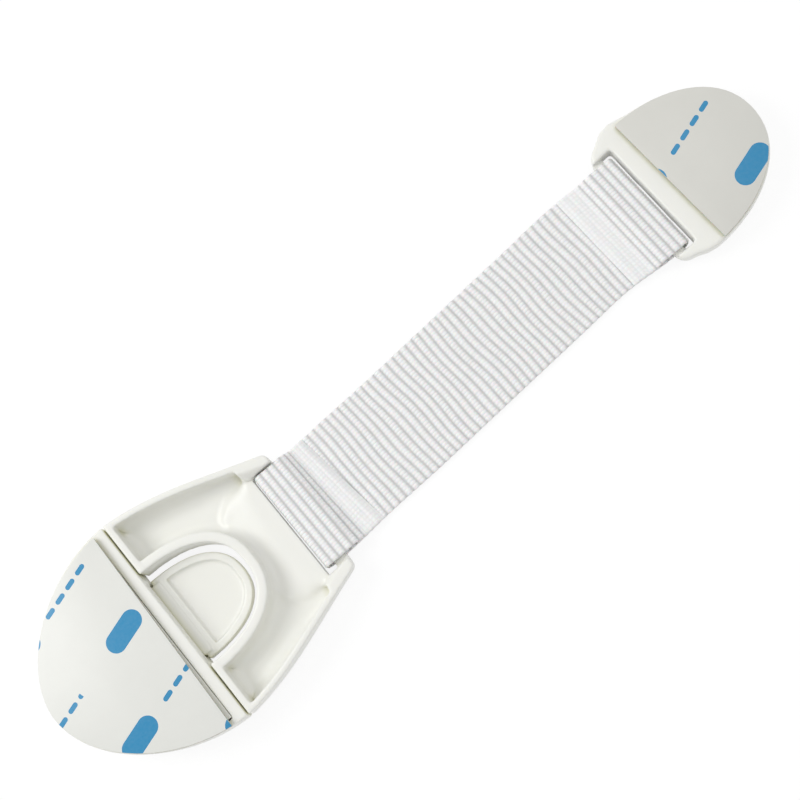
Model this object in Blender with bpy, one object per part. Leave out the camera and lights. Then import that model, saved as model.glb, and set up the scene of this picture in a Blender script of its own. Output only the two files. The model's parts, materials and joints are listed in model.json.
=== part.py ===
"""Child safety lock: a half-moon base and an anchor plate, both stuck down with foam tape and tied
by a webbing strap. The strap ends in a cover that clips on the base and is freed by a sprung tongue.
It lies on its front faces, adhesive sides up, with the strap running from the base along +X."""

import math

import bmesh
import bpy
import numpy as np
from mathutils import Matrix

MM = 0.001

# Body that the base and the cover share
SEAM_HALF_WIDTH = 25.6 * MM
BODY_HEIGHT = 8.0 * MM
FRONT_ROUNDING = 3.2 * MM
FRONT_SKIN = 1.4 * MM
RIM_WALL = 1.4 * MM
SEAM_GAP = 0.3 * MM
OUTLINE_STEPS = 18

# Base
BASE_LENGTH = 32.8 * MM
BASE_FULLNESS = 1.85
BAND_WALL = 2.8 * MM
BACK_PLATE = 1.4 * MM
POST_RADIUS = 1.5 * MM
POST_SPREAD = 15.0 * MM
POST_ROW = 13.0 * MM
POST_TIP_INSET = 7.0 * MM

# Cover
COVER_LENGTH = 36.8 * MM
COVER_END_HALF_WIDTH = 15.5 * MM
COVER_END_HEIGHT = 6.0 * MM
COVER_CORNER = 0.9 * MM
SHOULDER_REACH = 13.0 * MM
SHOULDER_ANGLE = math.radians(5.0)
TAPER_REACH = 17.5 * MM
TAPER_ANGLE = math.radians(17.5)
CROSS_WALL = 1.6 * MM
COVER_BAR = 3.2 * MM
RAMP_LENGTH = 13.5 * MM
RAMP_HALF_WIDTH = 14.3 * MM
RAMP_FULLNESS = 2.3
RAMP_STEP = 0.35 * MM
TOP_SLOPE_START = 19.5 * MM

# Window in the cover, and the wall round it
WINDOW_DEPTH = 19.5 * MM
WINDOW_HALF_WIDTH = 12.3 * MM
WINDOW_FULLNESS = 2.4
WINDOW_WALL = 2.2 * MM
WINDOW_WALL_DROP = 0.2 * MM

# Release tongue
TONGUE_GAP = 1.7 * MM
TONGUE_FRONT = 0.3 * MM
TONGUE_HEIGHT = 2.8 * MM
TONGUE_RIM = 1.7 * MM
TONGUE_DISH = 1.2 * MM
TONGUE_ROOT_RIM = 3.0 * MM
TONGUE_STEPS = 12
TAIL_HALF_WIDTH = 9.3 * MM
TAIL_THICKNESS = 1.0 * MM
TAIL_REACH = 8.5 * MM
TAIL_BAR = 4.0 * MM
PRESS_ROOM = 1.1 * MM
TRUNNION_RADIUS = 0.7 * MM
TRUNNION_LENGTH = 2.0 * MM
TOOTH_HEIGHT = 0.45 * MM
TOOTH_LENGTH = 1.0 * MM

# Prongs of the cover, which the tongue's teeth hold
PRONG_SPREAD = 16.8 * MM
PRONG_WIDTH = 5.0 * MM
PRONG_REACH = 9.5 * MM
PRONG_THICKNESS = 1.2 * MM
BARB_HEIGHT = 0.3 * MM
BARB_LENGTH = 1.0 * MM

# Foam tape and its peel-off liner
FOAM_THICKNESS = 1.1 * MM
LINER_THICKNESS = 0.15 * MM
TAPE_INSET = 0.5 * MM
TAPE_SKEW = math.radians(-1.5)
ANCHOR_TAPE_SKEW = math.radians(1.5)

# Strap
STRAP_WIDTH = 25.0 * MM
STRAP_THICKNESS = 1.2 * MM
STRAP_FLOOR = 0.25 * MM
LATCH_BEND_TURN = math.radians(1.07)
LATCH_BENDS = ("latch_fold", "run_1", "run_2")
ANCHOR_BEND_TURN = math.radians(-0.9)
LATCH_SHEAR = 0.6 * MM
ANCHOR_SHEAR = -1.2 * MM
STRAP_OFFSET = 0.6 * MM
STRAP_FREE_LENGTH = 92.2 * MM
FOLD_LENGTH = 11.5 * MM
TAIL_END_INSET = 1.8 * MM
TAIL_DROP_LENGTH = 3.6 * MM
RUN_COUNT = 5
STRAP_END_CHAMFER = 0.35 * MM
BEND_GAP = 0.5 * MM
FOLD_GAP = 1.0 * MM
LOOP_RADIUS = 0.95 * MM
LOOP_STEPS = 4
BAR_THICKNESS = 1.9 * MM
BAR_TO_BEND = 0.8 * MM
SLOT_WIDTH = 2.6 * MM

# Anchor plate
ANCHOR_LENGTH = 33.7 * MM
ANCHOR_HALF_WIDTH = 17.4 * MM
ANCHOR_END_HALF_WIDTH = 15.8 * MM
ANCHOR_SHOULDER = 8.3 * MM
ANCHOR_SHOULDER_DROP = 0.5 * MM
SHOULDER_SHARE = 0.3
ANCHOR_FULLNESS = 2.1
ANCHOR_CORNER = 3.4 * MM
ANCHOR_HEIGHT = 5.0 * MM
ANCHOR_ROUNDING = 2.2 * MM
ANCHOR_EDGE = 0.5 * MM
ANCHOR_BAR = 2.7 * MM
ANCHOR_TAPE_START = 9.7 * MM

# Clearances
PART_GAP = 0.3 * MM
TAPE_GAP = 0.1 * MM
STRAP_GAP = 0.25 * MM
STRAP_SIDE_GAP = 0.3 * MM
TRUNNION_GAP = 0.2 * MM
MOUTH_GAP = 0.4 * MM
BARB_GAP = 0.15 * MM
CUT_THROUGH = 1.0 * MM
SEAT = 0.7 * MM
BEVEL_STEPS = 4
FINE_STEPS = 2
CORNER_STEPS = 5
DROP_STEPS = 8
POST_SIDES = 20
TRUNNION_SIDES = 12
ARC_HANDLE = 0.5523

# Levels and places that follow from the sizes above
BAR_LOW = STRAP_FLOOR + STRAP_THICKNESS + STRAP_GAP
BAR_HIGH = BAR_LOW + BAR_THICKNESS
STRAP_LOW_MIDDLE = STRAP_FLOOR + STRAP_THICKNESS / 2
STRAP_HIGH_MIDDLE = BAR_HIGH + STRAP_GAP + STRAP_THICKNESS / 2
TAIL_LAYER_MIDDLE = STRAP_FLOOR + 1.5 * STRAP_THICKNESS + STRAP_GAP
FOLD_AXIS_HEIGHT = (STRAP_LOW_MIDDLE + STRAP_HIGH_MIDDLE) / 2
SLOT_HALF_LENGTH = STRAP_WIDTH / 2 + STRAP_OFFSET + STRAP_SIDE_GAP
SLOT_START = COVER_LENGTH - COVER_BAR - SLOT_WIDTH
TAIL_LOW = FRONT_SKIN + PRESS_ROOM
TAIL_HIGH = TAIL_LOW + TAIL_THICKNESS
TONGUE_AXIS_X = -BAND_WALL / 2
TONGUE_AXIS_HEIGHT = (TAIL_LOW + TAIL_HIGH) / 2
TOOTH_TOP = TAIL_HIGH + TOOTH_HEIGHT
PRONG_LOW = TOOTH_TOP + BARB_GAP + BARB_HEIGHT
TONGUE_DEPTH = WINDOW_DEPTH - TONGUE_GAP
TONGUE_HALF_WIDTH = WINDOW_HALF_WIDTH - TONGUE_GAP
TAPE_START = -BAND_WALL - PART_GAP
LINER_BASE = BODY_HEIGHT + FOAM_THICKNESS + 2 * TAPE_GAP
ANCHOR_LINER_BASE = ANCHOR_HEIGHT + FOAM_THICKNESS + 2 * TAPE_GAP
RUN_LENGTH = (STRAP_FREE_LENGTH - 2 * FOLD_LENGTH) / RUN_COUNT

TOUCH = 1e-6
PARTS = bpy.data.collections.new("child_safety_lock")
HELPERS = bpy.data.collections.new("cutters_and_additions")


def clear_scene():
    for obj in list(bpy.data.objects):
        bpy.data.objects.remove(obj, do_unlink=True)
    for collection in (PARTS, HELPERS):
        bpy.context.scene.collection.children.link(collection)


def plastic(name, colour, roughness):
    material = bpy.data.materials.new(name)
    material.use_nodes = True
    shader = material.node_tree.nodes["Principled BSDF"]
    shader.inputs["Base Color"].default_value = (*colour, 1.0)
    shader.inputs["Roughness"].default_value = roughness
    shader.inputs["Metallic"].default_value = 0.0
    return material


# Outlines are lists of (x, y), anticlockwise seen from above

def superellipse(length, half_width, fullness, steps):
    """Half of an oval that bulges towards +X from its straight side at x = 0."""
    points = []
    for step in range(2 * steps + 1):
        angle = math.pi * (step / (2 * steps) - 0.5)
        along = length * abs(math.cos(angle)) ** (2 / fullness)
        across = half_width * abs(math.sin(angle)) ** (2 / fullness)
        points.append((along, math.copysign(across, angle)))
    return points


def bezier(start, start_handle, end_handle, end, steps):
    points = []
    for step in range(steps + 1):
        t = step / steps
        weights = ((1 - t) ** 3, 3 * t * (1 - t) ** 2, 3 * t * t * (1 - t), t**3)
        knots = (start, start_handle, end_handle, end)
        points.append(tuple(sum(w * k[i] for w, k in zip(weights, knots)) for i in (0, 1)))
    return points


def rounded_corner(before, corner, after, steps):
    """Close to a circle's quarter where the two sides meet square."""
    handles = [tuple(p + ARC_HANDLE * (c - p) for p, c in zip(end, corner)) for end in (before, after)]
    return bezier(before, handles[0], handles[1], after, steps)


def body_outline():
    """The base's half-moon, then the cover's two sides, which taper to the strap."""
    base = [(-x, -y) for x, y in superellipse(BASE_LENGTH, SEAM_HALF_WIDTH, BASE_FULLNESS, OUTLINE_STEPS)]
    side_end = (COVER_LENGTH, COVER_END_HALF_WIDTH)
    shoulder = (
        SHOULDER_REACH * math.cos(SHOULDER_ANGLE),
        SEAM_HALF_WIDTH - SHOULDER_REACH * math.sin(SHOULDER_ANGLE),
    )
    taper = (
        side_end[0] - TAPER_REACH * math.cos(TAPER_ANGLE),
        side_end[1] + TAPER_REACH * math.sin(TAPER_ANGLE),
    )
    upper = bezier((0.0, SEAM_HALF_WIDTH), shoulder, taper, side_end, OUTLINE_STEPS // 2)[1:]
    lower = [(x, -y) for x, y in upper]
    return base + lower + upper[::-1]


def anchor_outline():
    """In the anchor's own frame, whose origin is the strap's last bend."""
    wide = BAR_TO_BEND + ANCHOR_SHOULDER
    edge = BAR_TO_BEND
    oval = superellipse(ANCHOR_LENGTH - ANCHOR_SHOULDER, ANCHOR_HALF_WIDTH, ANCHOR_FULLNESS, OUTLINE_STEPS)
    far = [(wide + x, y) for x, y in oval]
    shoulder_end = (edge + ANCHOR_CORNER, ANCHOR_END_HALF_WIDTH)
    corner = rounded_corner(
        shoulder_end,
        (edge, ANCHOR_END_HALF_WIDTH),
        (edge, ANCHOR_END_HALF_WIDTH - ANCHOR_CORNER),
        CORNER_STEPS,
    )
    shoulder = (wide + (edge - wide) * SHOULDER_SHARE, ANCHOR_HALF_WIDTH - ANCHOR_SHOULDER_DROP)
    upper = [shoulder] + corner
    lower = [(x, -y) for x, y in upper]
    return far + upper + lower[::-1]


def inset(points, distance):
    """Moves each side of a closed anticlockwise outline inwards, and outwards where distance is negative."""
    array = np.array(points)
    ahead = np.roll(array, -1, axis=0) - array
    ahead /= np.linalg.norm(ahead, axis=1)[:, None]
    normal = np.column_stack((-ahead[:, 1], ahead[:, 0]))
    behind = np.roll(normal, 1, axis=0)
    mean = normal + behind
    mean /= np.linalg.norm(mean, axis=1)[:, None]
    reach = distance / np.sum(mean * normal, axis=1)
    return [tuple(point) for point in array + mean * reach[:, None]]


def clip(points, limit, keep_low):
    """Cuts a closed outline off at x = limit and keeps the low or the high side."""
    kept = []
    for point, following in zip(points, points[1:] + points[:1]):
        inside = (point[0] <= limit) == keep_low or point[0] == limit
        next_inside = (following[0] <= limit) == keep_low or following[0] == limit
        if inside:
            kept.append(point)
        if inside != next_inside and abs(following[0] - point[0]) > 1e-9:
            share = (limit - point[0]) / (following[0] - point[0])
            crossing = (limit, point[1] + share * (following[1] - point[1]))
            if not kept or math.dist(crossing, kept[-1]) > 1e-7:
                kept.append(crossing)
    if math.dist(kept[0], kept[-1]) < 1e-7:
        kept.pop()
    return kept


def ribbon(middle, thickness):
    """The outline of a strip of even thickness whose middle line is given."""
    array = np.array(middle)
    ahead = np.gradient(array, axis=0)
    ahead /= np.linalg.norm(ahead, axis=1)[:, None]
    side = np.column_stack((-ahead[:, 1], ahead[:, 0])) * thickness / 2
    right = [tuple(point) for point in array - side]
    left = [tuple(point) for point in array + side]
    return right + left[::-1]


# Solids

def mesh_from_curve(curve_object):
    """Makes a curve's evaluated shape a mesh of its own, with the flat faces whole."""
    bpy.context.view_layer.update()
    graph = bpy.context.evaluated_depsgraph_get()
    mesh = bpy.data.meshes.new_from_object(curve_object.evaluated_get(graph))
    mesh.transform(curve_object.matrix_world)
    shape = bmesh.new()
    shape.from_mesh(mesh)
    bmesh.ops.remove_doubles(shape, verts=shape.verts, dist=1e-7)
    bmesh.ops.dissolve_limit(shape, angle_limit=1e-3, verts=shape.verts, edges=shape.edges)
    bmesh.ops.recalc_face_normals(shape, faces=shape.faces)
    shape.to_mesh(mesh)
    shape.free()
    curve = curve_object.data
    bpy.data.objects.remove(curve_object, do_unlink=True)
    bpy.data.curves.remove(curve)
    return mesh


def prism(points, low, high, upright=False):
    """A flat outline made solid, from low to high along Z, or along Y for an upright (x, z) outline."""
    curve = bpy.data.curves.new("outline", "CURVE")
    curve.dimensions = "2D"
    curve.fill_mode = "BOTH"
    curve.extrude = (high - low) / 2
    spline = curve.splines.new("POLY")
    spline.points.add(len(points) - 1)
    for spline_point, (x, y) in zip(spline.points, points):
        spline_point.co = (x, y, 0.0, 1.0)
    spline.use_cyclic_u = True
    curve_object = bpy.data.objects.new("outline", curve)
    HELPERS.objects.link(curve_object)
    middle = (low + high) / 2
    if upright:
        curve_object.rotation_euler = (math.pi / 2, 0.0, 0.0)
        curve_object.location = (0.0, middle, 0.0)
    else:
        curve_object.location = (0.0, 0.0, middle)
    return mesh_from_curve(curve_object)


def round_edges(mesh, chosen, width, steps):
    """Rounds the edges whose two ends the test picks."""
    shape = bmesh.new()
    shape.from_mesh(mesh)
    picked = [edge for edge in shape.edges if chosen(edge.verts[0].co, edge.verts[1].co)]
    bmesh.ops.bevel(shape, geom=picked, offset=width, segments=steps, profile=0.5, affect="EDGES")
    bmesh.ops.recalc_face_normals(shape, faces=shape.faces)
    shape.to_mesh(mesh)
    shape.free()


def both_at(first, second, axis, value):
    return abs(first[axis] - value) < TOUCH and abs(second[axis] - value) < TOUCH


def round_rim(mesh, height, width, steps, flat_sides=()):
    """Rounds the edge round the flat face at this height, but for straight sides at these x."""

    def chosen(first, second):
        on_flat = any(both_at(first, second, 0, x) for x in flat_sides)
        return both_at(first, second, 2, height) and not on_flat

    round_edges(mesh, chosen, width, steps)


def round_end(mesh, x, top, width, steps):
    """Rounds the edge round the flat end at this x, but for its top side."""

    def chosen(first, second):
        return both_at(first, second, 0, x) and not both_at(first, second, 2, top)

    round_edges(mesh, chosen, width, steps)


def block(low, high):
    mesh = bpy.data.meshes.new("block")
    shape = bmesh.new()
    size = [b - a for a, b in zip(low, high)]
    middle = [(a + b) / 2 for a, b in zip(low, high)]
    bmesh.ops.create_cube(shape, size=1.0, matrix=Matrix.Translation(middle) @ Matrix.Diagonal((*size, 1.0)))
    shape.to_mesh(mesh)
    shape.free()
    return mesh


def cylinder(radius, start, end, steps):
    """A round bar between two points that differ along one axis, Y or Z."""
    mesh = bpy.data.meshes.new("cylinder")
    shape = bmesh.new()
    length = math.dist(start, end)
    middle = [(a + b) / 2 for a, b in zip(start, end)]
    turn = Matrix.Identity(4) if start[1] == end[1] else Matrix.Rotation(math.pi / 2, 4, "X")
    bmesh.ops.create_cone(
        shape,
        cap_ends=True,
        segments=steps,
        radius1=radius,
        radius2=radius,
        depth=length,
        matrix=Matrix.Translation(middle) @ turn,
    )
    shape.to_mesh(mesh)
    shape.free()
    return mesh


def frame(name, parent, location=(0.0, 0.0, 0.0), turn=0.0):
    """An empty that carries a moving body, on its joint's axis."""
    empty = bpy.data.objects.new(name, None)
    empty.empty_display_size = 5 * MM
    empty.location = location
    empty.rotation_euler = (0.0, 0.0, turn)
    empty.parent = parent
    PARTS.objects.link(empty)
    return empty


def part(name, mesh, parent, material, location=(0.0, 0.0, 0.0)):
    mesh.name = name
    mesh.materials.append(material)
    obj = bpy.data.objects.new(name, mesh)
    obj.location = location
    obj.parent = parent
    PARTS.objects.link(obj)
    return obj


def combine(obj, mesh, operation):
    """Adds a shape to a part, or cuts it out, in the part's own coordinates."""
    helper = bpy.data.objects.new(f"{obj.name}_{operation.lower()}_{len(obj.modifiers)}", mesh)
    helper.parent = obj
    helper.hide_render = True
    helper.display_type = "WIRE"
    HELPERS.objects.link(helper)
    modifier = obj.modifiers.new(helper.name, "BOOLEAN")
    modifier.operation = operation
    modifier.solver = "EXACT"
    modifier.object = helper


def add(obj, mesh):
    combine(obj, mesh, "UNION")


def cut(obj, mesh):
    combine(obj, mesh, "DIFFERENCE")


def smooth(obj, angle=math.radians(30)):
    obj.data.shade_smooth()
    obj.data.set_sharp_from_angle(angle=angle)


# Pieces

def prong_sides():
    half = PRONG_WIDTH / 2
    return [(side * PRONG_SPREAD - half, side * PRONG_SPREAD + half) for side in (-1, 1)]


def make_base_shell(parent, material):
    outline = body_outline()
    shell_mesh = prism(clip(outline, 0.0, True), 0.0, BODY_HEIGHT)
    round_rim(shell_mesh, 0.0, FRONT_ROUNDING, BEVEL_STEPS, (0.0,))
    shell = part("base_shell", shell_mesh, parent, material)
    hollow = prism(clip(inset(outline, RIM_WALL), -BAND_WALL, True), FRONT_SKIN, BODY_HEIGHT + CUT_THROUGH)
    inner_rounding = FRONT_ROUNDING - FRONT_SKIN
    round_rim(hollow, FRONT_SKIN, inner_rounding, BEVEL_STEPS, (-BAND_WALL,))
    cut(shell, hollow)
    post_top = BODY_HEIGHT - BACK_PLATE - PART_GAP
    posts = ((-POST_ROW, POST_SPREAD), (-POST_ROW, -POST_SPREAD), (POST_TIP_INSET - BASE_LENGTH, 0.0))
    for x, y in posts:
        add(shell, cylinder(POST_RADIUS, (x, y, SEAT), (x, y, post_top), POST_SIDES))
    behind = -BAND_WALL - CUT_THROUGH
    tail_half = TAIL_HALF_WIDTH + MOUTH_GAP
    mouth_low = TAIL_LOW - MOUTH_GAP
    mouth_high = TAIL_HIGH + MOUTH_GAP
    cut(shell, block((behind, -tail_half, mouth_low), (CUT_THROUGH, tail_half, mouth_high)))
    for near, far in prong_sides():
        low = (behind, near - MOUTH_GAP, TOOTH_TOP)
        high = (CUT_THROUGH, far + MOUTH_GAP, PRONG_LOW + PRONG_THICKNESS + MOUTH_GAP)
        cut(shell, block(low, high))
    hole_end = TAIL_HALF_WIDTH + TRUNNION_LENGTH + PART_GAP
    for side in (-1, 1):
        start = (TONGUE_AXIS_X, side * TAIL_HALF_WIDTH, TONGUE_AXIS_HEIGHT)
        end = (TONGUE_AXIS_X, side * hole_end, TONGUE_AXIS_HEIGHT)
        cut(shell, cylinder(TRUNNION_RADIUS + TRUNNION_GAP, start, end, TRUNNION_SIDES))
    smooth(shell)


def make_back_plate(parent, material):
    outline = clip(inset(body_outline(), RIM_WALL + PART_GAP), -BAND_WALL - PART_GAP, True)
    part("base_back_plate", prism(outline, BODY_HEIGHT - BACK_PLATE, BODY_HEIGHT), parent, material)


def make_tongue(parent, material):
    """A flat D with a raised rim. Its tail rocks in the base, on two short trunnions."""
    oval = superellipse(TONGUE_DEPTH, TONGUE_HALF_WIDTH, WINDOW_FULLNESS, TONGUE_STEPS)
    outline = clip(oval, SEAM_GAP, False)
    top = TONGUE_FRONT + TONGUE_HEIGHT
    to_axis = (-TONGUE_AXIS_X, 0.0, -TONGUE_AXIS_HEIGHT)
    tongue = part("release_tongue", prism(outline, TONGUE_FRONT, top), parent, material, to_axis)
    dish = clip(inset(oval, TONGUE_RIM), SEAM_GAP + TONGUE_ROOT_RIM, False)
    cut(tongue, prism(dish, top - TONGUE_DISH, top + CUT_THROUGH))
    bar_half = PRONG_SPREAD + PRONG_WIDTH / 2
    neck = TAIL_HALF_WIDTH
    bar_start = TAIL_BAR - TAIL_REACH
    root = SEAM_GAP + TONGUE_ROOT_RIM / 2
    tail = [
        (-TAIL_REACH, -bar_half),
        (bar_start, -bar_half),
        (bar_start, -neck),
        (root, -neck),
        (root, neck),
        (bar_start, neck),
        (bar_start, bar_half),
        (-TAIL_REACH, bar_half),
    ]
    add(tongue, prism(tail, TAIL_LOW, TAIL_HIGH))
    for near, far in prong_sides():
        low = (bar_start - TOOTH_LENGTH - PART_GAP, near, (TAIL_LOW + TAIL_HIGH) / 2)
        add(tongue, block(low, (bar_start - PART_GAP, far, TOOTH_TOP)))
    reach = TAIL_HALF_WIDTH + TRUNNION_LENGTH
    start = (TONGUE_AXIS_X, -reach, TONGUE_AXIS_HEIGHT)
    end = (TONGUE_AXIS_X, reach, TONGUE_AXIS_HEIGHT)
    add(tongue, cylinder(TRUNNION_RADIUS - TRUNNION_GAP / 2, start, end, TRUNNION_SIDES))
    smooth(tongue)


def make_cover(parent, material):
    outline = body_outline()
    cover_mesh = prism(clip(outline, SEAM_GAP, False), 0.0, BODY_HEIGHT)
    round_rim(cover_mesh, 0.0, FRONT_ROUNDING, BEVEL_STEPS, (SEAM_GAP, COVER_LENGTH))
    round_end(cover_mesh, COVER_LENGTH, BODY_HEIGHT, COVER_CORNER, FINE_STEPS)
    cover = part("latch_cover", cover_mesh, parent, material)
    pocket = clip(inset(outline, RIM_WALL), SEAM_GAP + CROSS_WALL, False)
    pocket = clip(pocket, SLOT_START - CROSS_WALL, True)
    pocket_mesh = prism(pocket, FRONT_SKIN, BODY_HEIGHT + CUT_THROUGH)
    cut(cover, pocket_mesh)

    window = superellipse(WINDOW_DEPTH, WINDOW_HALF_WIDTH, WINDOW_FULLNESS, TONGUE_STEPS)
    wall_oval = superellipse(
        WINDOW_DEPTH + WINDOW_WALL, WINDOW_HALF_WIDTH + WINDOW_WALL, WINDOW_FULLNESS, TONGUE_STEPS
    )
    wall = clip(wall_oval, SEAM_GAP + CROSS_WALL / 2, False)
    add(cover, prism(wall, SEAT, BODY_HEIGHT - WINDOW_WALL_DROP))
    add(cover, ramp_mesh())
    window_open = [(-CUT_THROUGH, -WINDOW_HALF_WIDTH)] + window[1:-1] + [(-CUT_THROUGH, WINDOW_HALF_WIDTH)]
    cut(cover, prism(window_open, -CUT_THROUGH, BODY_HEIGHT + CUT_THROUGH))

    half = SLOT_HALF_LENGTH
    past = COVER_LENGTH + CUT_THROUGH
    above = BODY_HEIGHT + CUT_THROUGH
    cut(cover, block((SLOT_START, -half, -CUT_THROUGH), (SLOT_START + SLOT_WIDTH, half, above)))
    cut(cover, block((SLOT_START - 2 * CROSS_WALL, -half, BAR_HIGH), (past, half, above)))
    cut(cover, block((SLOT_START + SLOT_WIDTH / 2, -half, -CUT_THROUGH), (past, half, BAR_LOW)))
    cut(cover, top_slope_mesh())
    for near, far in prong_sides():
        root = (SEAM_GAP + CROSS_WALL / 2, far, PRONG_LOW + PRONG_THICKNESS)
        add(cover, block((-PRONG_REACH, near, PRONG_LOW), root))
        barb_end = TAIL_BAR - TAIL_REACH - TOOTH_LENGTH - 2 * PART_GAP
        low = (barb_end - BARB_LENGTH, near, PRONG_LOW - BARB_HEIGHT)
        add(cover, block(low, (barb_end, far, PRONG_LOW + PRONG_THICKNESS / 2)))
    smooth(cover)


def ramp_mesh():
    """The floor between the window and the slot: a low disc that climbs to the bar's level."""
    start = SLOT_START - RAMP_LENGTH
    oval = superellipse(RAMP_LENGTH, RAMP_HALF_WIDTH, RAMP_FULLNESS, TONGUE_STEPS)
    mesh = prism([(SLOT_START - x, -y) for x, y in oval], SEAT, BAR_HIGH)
    low = FRONT_SKIN + RAMP_STEP
    for vertex in mesh.vertices:
        if vertex.co.z > SEAT + TOUCH:
            vertex.co.z = low + (BAR_HIGH - low) * (vertex.co.x - start) / RAMP_LENGTH
    return mesh


def top_slope_mesh():
    """A wedge that lowers the cover's rim towards the strap."""
    past = COVER_LENGTH + CUT_THROUGH
    fall = (BODY_HEIGHT - COVER_END_HEIGHT) / (COVER_LENGTH - TOP_SLOPE_START)
    profile = [
        (TOP_SLOPE_START, BODY_HEIGHT),
        (past, BODY_HEIGHT - fall * (past - TOP_SLOPE_START)),
        (past, BODY_HEIGHT + CUT_THROUGH),
        (TOP_SLOPE_START, BODY_HEIGHT + CUT_THROUGH),
    ]
    return prism(profile, -2 * SEAM_HALF_WIDTH, 2 * SEAM_HALF_WIDTH, upright=True)


def make_anchor_plate(parent, material):
    outline = anchor_outline()
    mesh = prism(outline, 0.0, ANCHOR_HEIGHT)
    round_rim(mesh, 0.0, ANCHOR_ROUNDING, BEVEL_STEPS)
    round_rim(mesh, ANCHOR_HEIGHT, ANCHOR_EDGE, FINE_STEPS)
    plate = part("anchor_plate", mesh, parent, material, (0.0, 0.0, -FOLD_AXIS_HEIGHT))
    half = SLOT_HALF_LENGTH
    bar_end = BAR_TO_BEND + ANCHOR_BAR
    slot_end = bar_end + SLOT_WIDTH
    above = ANCHOR_HEIGHT + CUT_THROUGH
    cut(plate, block((bar_end, -half, -CUT_THROUGH), (slot_end, half, above)))
    cut(plate, block((-CUT_THROUGH, -half, BAR_HIGH), (bar_end + SLOT_WIDTH / 2, half, above)))
    cut(plate, block((-CUT_THROUGH, -half, -CUT_THROUGH), (bar_end + SLOT_WIDTH / 2, half, BAR_LOW)))
    smooth(plate)


def skewed(points, turn):
    """Turned a little about its middle, as tape put on by hand is."""
    array = np.array(points)
    middle = (array.min(axis=0) + array.max(axis=0)) / 2
    c, s = math.cos(turn), math.sin(turn)
    turned = (array - middle) @ np.array(((c, s), (-s, c))) + middle
    return [tuple(point) for point in turned]


def make_tape(name, outline, face, foam_parent, liner_parent, liner_axis, foam, liner, drop=0.0):
    """A foam pad on this face, and its liner, which turns on its straight edge."""
    low = face + TAPE_GAP
    part(f"{name}_foam_pad", prism(outline, low, low + FOAM_THICKNESS), foam_parent, foam, (0.0, 0.0, -drop))
    liner_low = low + FOAM_THICKNESS + TAPE_GAP
    mesh = prism(outline, liner_low, liner_low + LINER_THICKNESS)
    part(f"{name}_liner", mesh, liner_parent, liner, (-liner_axis[0], 0.0, -liner_axis[1]))


def strap_layer(length, middle_height, start_gap, end_gap):
    """A flat length of strap with chamfered ends, from just past one bend to just before the next."""
    low, high = middle_height - STRAP_THICKNESS / 2, middle_height + STRAP_THICKNESS / 2
    start, end = start_gap / 2, length - end_gap / 2
    c = STRAP_END_CHAMFER
    profile = [
        (start + c, low),
        (end - c, low),
        (end, low + c),
        (end, high - c),
        (end - c, high),
        (start + c, high),
        (start, high - c),
        (start, low + c),
    ]
    return prism(profile, -STRAP_WIDTH / 2, STRAP_WIDTH / 2, upright=True)


def wrap_profile(bar_width):
    """The strap round a bar, as a strip open towards +X, where the bend is the origin."""
    end = -FOLD_GAP / 2
    turn_x = -BAR_TO_BEND - bar_width - STRAP_GAP - STRAP_THICKNESS / 2
    low, high, r = STRAP_LOW_MIDDLE, STRAP_HIGH_MIDDLE, LOOP_RADIUS
    middle = [(end, low)]
    for centre_z, start_angle in ((low + r, -math.pi / 2), (high - r, math.pi)):
        for step in range(LOOP_STEPS + 1):
            angle = start_angle - step * math.pi / 2 / LOOP_STEPS
            middle.append((turn_x + r + r * math.cos(angle), centre_z + r * math.sin(angle)))
    middle.append((end, high))
    return ribbon(middle, STRAP_THICKNESS)


def tail_profile():
    """The strap's end, which comes off the bar and lies back on the strap. x counts from the bend."""
    start = FOLD_GAP / 2
    middle = [(start, STRAP_HIGH_MIDDLE)]
    for step in range(DROP_STEPS + 1):
        share = step / DROP_STEPS
        ease = (1 - math.cos(math.pi * share)) / 2
        height = STRAP_HIGH_MIDDLE + ease * (TAIL_LAYER_MIDDLE - STRAP_HIGH_MIDDLE)
        middle.append((start + PART_GAP + share * TAIL_DROP_LENGTH, height))
    middle.append((FOLD_LENGTH - TAIL_END_INSET, TAIL_LAYER_MIDDLE))
    return ribbon(middle, STRAP_THICKNESS)


def reversed_x(profile, length=0.0):
    return [(length - x, z) for x, z in profile][::-1]


def sheared(mesh, amount):
    """Pulled sideways along its length, as the strap's two ends are, with its cut ends left parallel."""
    for vertex in mesh.vertices:
        vertex.co.y += amount * vertex.co.x / FOLD_LENGTH
    return mesh


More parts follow.
